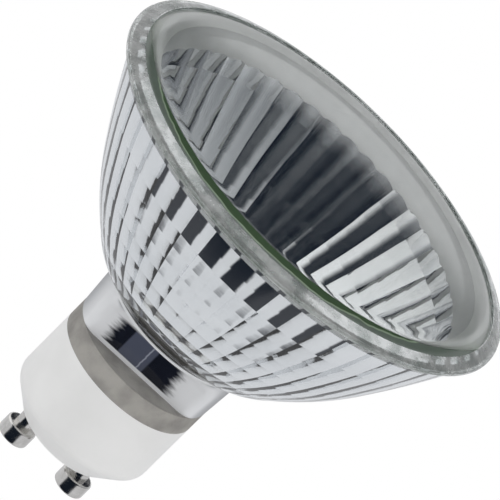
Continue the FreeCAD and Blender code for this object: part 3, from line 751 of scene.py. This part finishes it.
# The nodes whose own shape is kept.
plainNodes = {
    "ceramic_base": ceramicBody,
    "base_cement": greyCement,
    "contact_pin_left": nickel,
    "contact_pin_right": nickel,
    "capsule_cement": whiteCement,
    "capsule_envelope": quartzGlass,
    "foil_left": wireMetal,
    "foil_right": wireMetal,
    "inner_lead_short": wireMetal,
    "inner_lead_long": wireMetal,
    "outer_lead_left": wireMetal,
    "outer_lead_right": wireMetal,
    "filament": filamentMetal,
    "lead_wire": wireMetal,
    "fuse_wire": wireMetal,
}
for name, material in plainNodes.items():
    mesh = nodes[name].data
    mesh.materials.clear()
    mesh.materials.append(material)
print("node materials set")

# Camera at the photograph's angle, rolled so that the lamp's axis points up to the right.
view = {
    "azimuth": -6.4, "elevation": 23.4, "roll": 45.13,  # degrees
    "distance": 0.813, "target": (0.0, 0.0, 0.03784), "slide": (-0.00037, -0.00017),  # metres
    "lens": 451.2, "sensor": 36.0,  # millimetres
    "nearest": 0.01, "farthest": 20.0,  # metres
}


def viewAxes():
    azimuth, elevation = math.radians(view["azimuth"]), math.radians(view["elevation"])
    level = Vector((math.cos(azimuth), math.sin(azimuth), 0.0))
    outward = Vector((math.sin(azimuth), -math.cos(azimuth), 0.0))
    back = outward * math.cos(elevation) + Vector((0.0, 0.0, math.sin(elevation)))
    roll = math.radians(view["roll"])
    right = level * math.cos(roll) + back.cross(level) * math.sin(roll)
    return right, back.cross(right), back


def makeCamera():
    right, up, back = viewAxes()
    data = bpy.data.cameras.new("camera")
    data.lens = view["lens"]
    data.sensor_width = view["sensor"]
    data.clip_start = view["nearest"]
    data.clip_end = view["farthest"]
    camera = bpy.data.objects.new("camera", data)
    camera.matrix_world = Matrix((right, up, back)).transposed().to_4x4()
    slide = right * view["slide"][0] + up * view["slide"][1]
    camera.location = Vector(view["target"]) + slide + back * view["distance"]
    bpy.context.scene.collection.objects.link(camera)
    bpy.context.scene.camera = camera


makeCamera()
print("camera set")

# Soft studio: bright all round, with a dark room behind the camera and a dark ceiling behind the lamp.
# Edges are stretches of a direction's x, z or cosine over which one light turns into the next.
studio = {
    "bright": rgb(0.86, 0.865, 0.88), "soft": rgb(0.90, 0.90, 0.90),
    "room": rgb(0.010, 0.014, 0.022), "roomEdge": (0.68, 0.80),
    "overhead": 0.0004,  # keeps the room's edge steady straight up
    "wider": 0.18, "softer": 0.45, "widerEdge": (0.05, 0.35),
    "nearEdge": (0.10, 0.34), "nearer": 0.10, "nearerEdge": (-0.1, 0.1),
    "ceiling": (0.08, 0.77, 0.64), "ceilingEdge": (0.925, 0.955),
    "dim": rgb(0.44, 0.45, 0.47), "dimEdge": (-0.3, 0.9),
    "key": rgb(1.15, 1.15, 1.16), "keyEdge": (-0.8, -0.2), "horizonEdge": (0.0, 0.3),
    "under": rgb(0.72, 0.725, 0.745), "underEdge": (-0.25, 0.05),
}


def darkRoom(shader, x, y, z):
    # 1 towards the room behind the camera; higher up it is wider and its edge softer.
    azimuth = math.radians(view["azimuth"])
    towards = x * math.sin(azimuth) - y * math.cos(azimuth)
    level = shader.maths("SQRT", x * x + y * y + studio["overhead"])
    wider = z.ramp(0.0, studio["wider"], *studio["widerEdge"])
    softer = z.ramp(1.0, studio["softer"], *studio["widerEdge"])
    edge = sum(studio["roomEdge"]) / 2
    room = ((towards / level + wider - edge) * softer + edge).ramp(0.0, 1.0, *studio["roomEdge"])
    nearer = z.ramp(0.0, studio["nearer"], *studio["nearerEdge"])
    return room * (towards + nearer).ramp(0.0, 1.0, *studio["nearEdge"])


def darkCeiling(shader, direction):
    facing = shader.node("ShaderNodeVectorMath", {"operation": "DOT_PRODUCT"},
                         i0=direction, i1=studio["ceiling"])
    return shader.take(facing, "Value").ramp(0.0, 1.0, *studio["ceilingEdge"])


def lightAround(x, z):
    # Above the horizon brighter towards -x and dimmer towards +x, and one grey below it.
    risen = z.ramp(0.0, 1.0, *studio["horizonEdge"])
    dimmer = x.ramp(0.0, 1.0, *studio["dimEdge"]) * risen
    keener = x.ramp(1.0, 0.0, *studio["keyEdge"]) * risen
    around = keener.mixed(dimmer.mixed(studio["bright"], studio["dim"]), studio["key"])
    return z.ramp(1.0, 0.0, *studio["underEdge"]).mixed(around, studio["under"])


def makeWorld():
    world = bpy.data.worlds.new("studio")
    bpy.context.scene.world = world
    world.use_nodes = True
    shader = Sock(world.node_tree)
    direction = shader.take(shader.node("ShaderNodeTexCoord"), "Generated")
    x, y, z = axisValues(shader, direction)
    dark = shader.maths("MAXIMUM", darkRoom(shader, x, y, z), darkCeiling(shader, direction))
    seen = dark.mixed(lightAround(x, z), studio["room"])
    # Matte surfaces get an even light, and the camera sees white.
    path = shader.node("ShaderNodeLightPath")
    scattered = shader.maths("MINIMUM", shader.take(path, "Diffuse Depth"), 1.0)
    lit = scattered.mixed(seen, studio["soft"])
    shown = shader.take(path, "Is Camera Ray").mixed(lit, white)
    shader.feed(world.node_tree.nodes["Background"].inputs["Color"], shown)


makeWorld()
print("light set")

# White paper just under the pins, in metres.
paper = {"height": -0.0062, "size": 4.0, "colour": rgb(0.9, 0.9, 0.9), "rough": 0.9, "glow": 1.0}


def paperMaterial():
    # The camera sees plain white, and light bounces off pale grey.
    material, shader, bsdf = newMaterial("floorPaper")
    setInputs(shader, bsdf, {"Base Color": paper["colour"], "Roughness": paper["rough"]})
    glow = shader.node("ShaderNodeEmission", None, Color=white, Strength=paper["glow"])
    path = shader.node("ShaderNodeLightPath")
    blend = shader.node("ShaderNodeMixShader", None, i0=shader.take(path, "Is Camera Ray"),
                        i1=shader.take(bsdf), i2=shader.take(glow))
    shader.feed(shader.tree.nodes["Material Output"].inputs["Surface"], shader.take(blend))
    return material


def makeFloor():
    bm = bmesh.new()
    bmesh.ops.create_grid(bm, x_segments=1, y_segments=1, size=paper["size"] / 2)
    bmesh.ops.translate(bm, verts=bm.verts, vec=(0, 0, paper["height"]))
    mesh = bpy.data.meshes.new("floor")
    bm.to_mesh(mesh)
    bm.free()
    mesh.materials.append(paperMaterial())
    floor = bpy.data.objects.new("floor", mesh)
    bpy.context.scene.collection.objects.link(floor)
    floor.visible_glossy = False
    floor.visible_transmission = False


makeFloor()
bpy.context.scene.view_settings.view_transform = "Standard"
print("floor set")
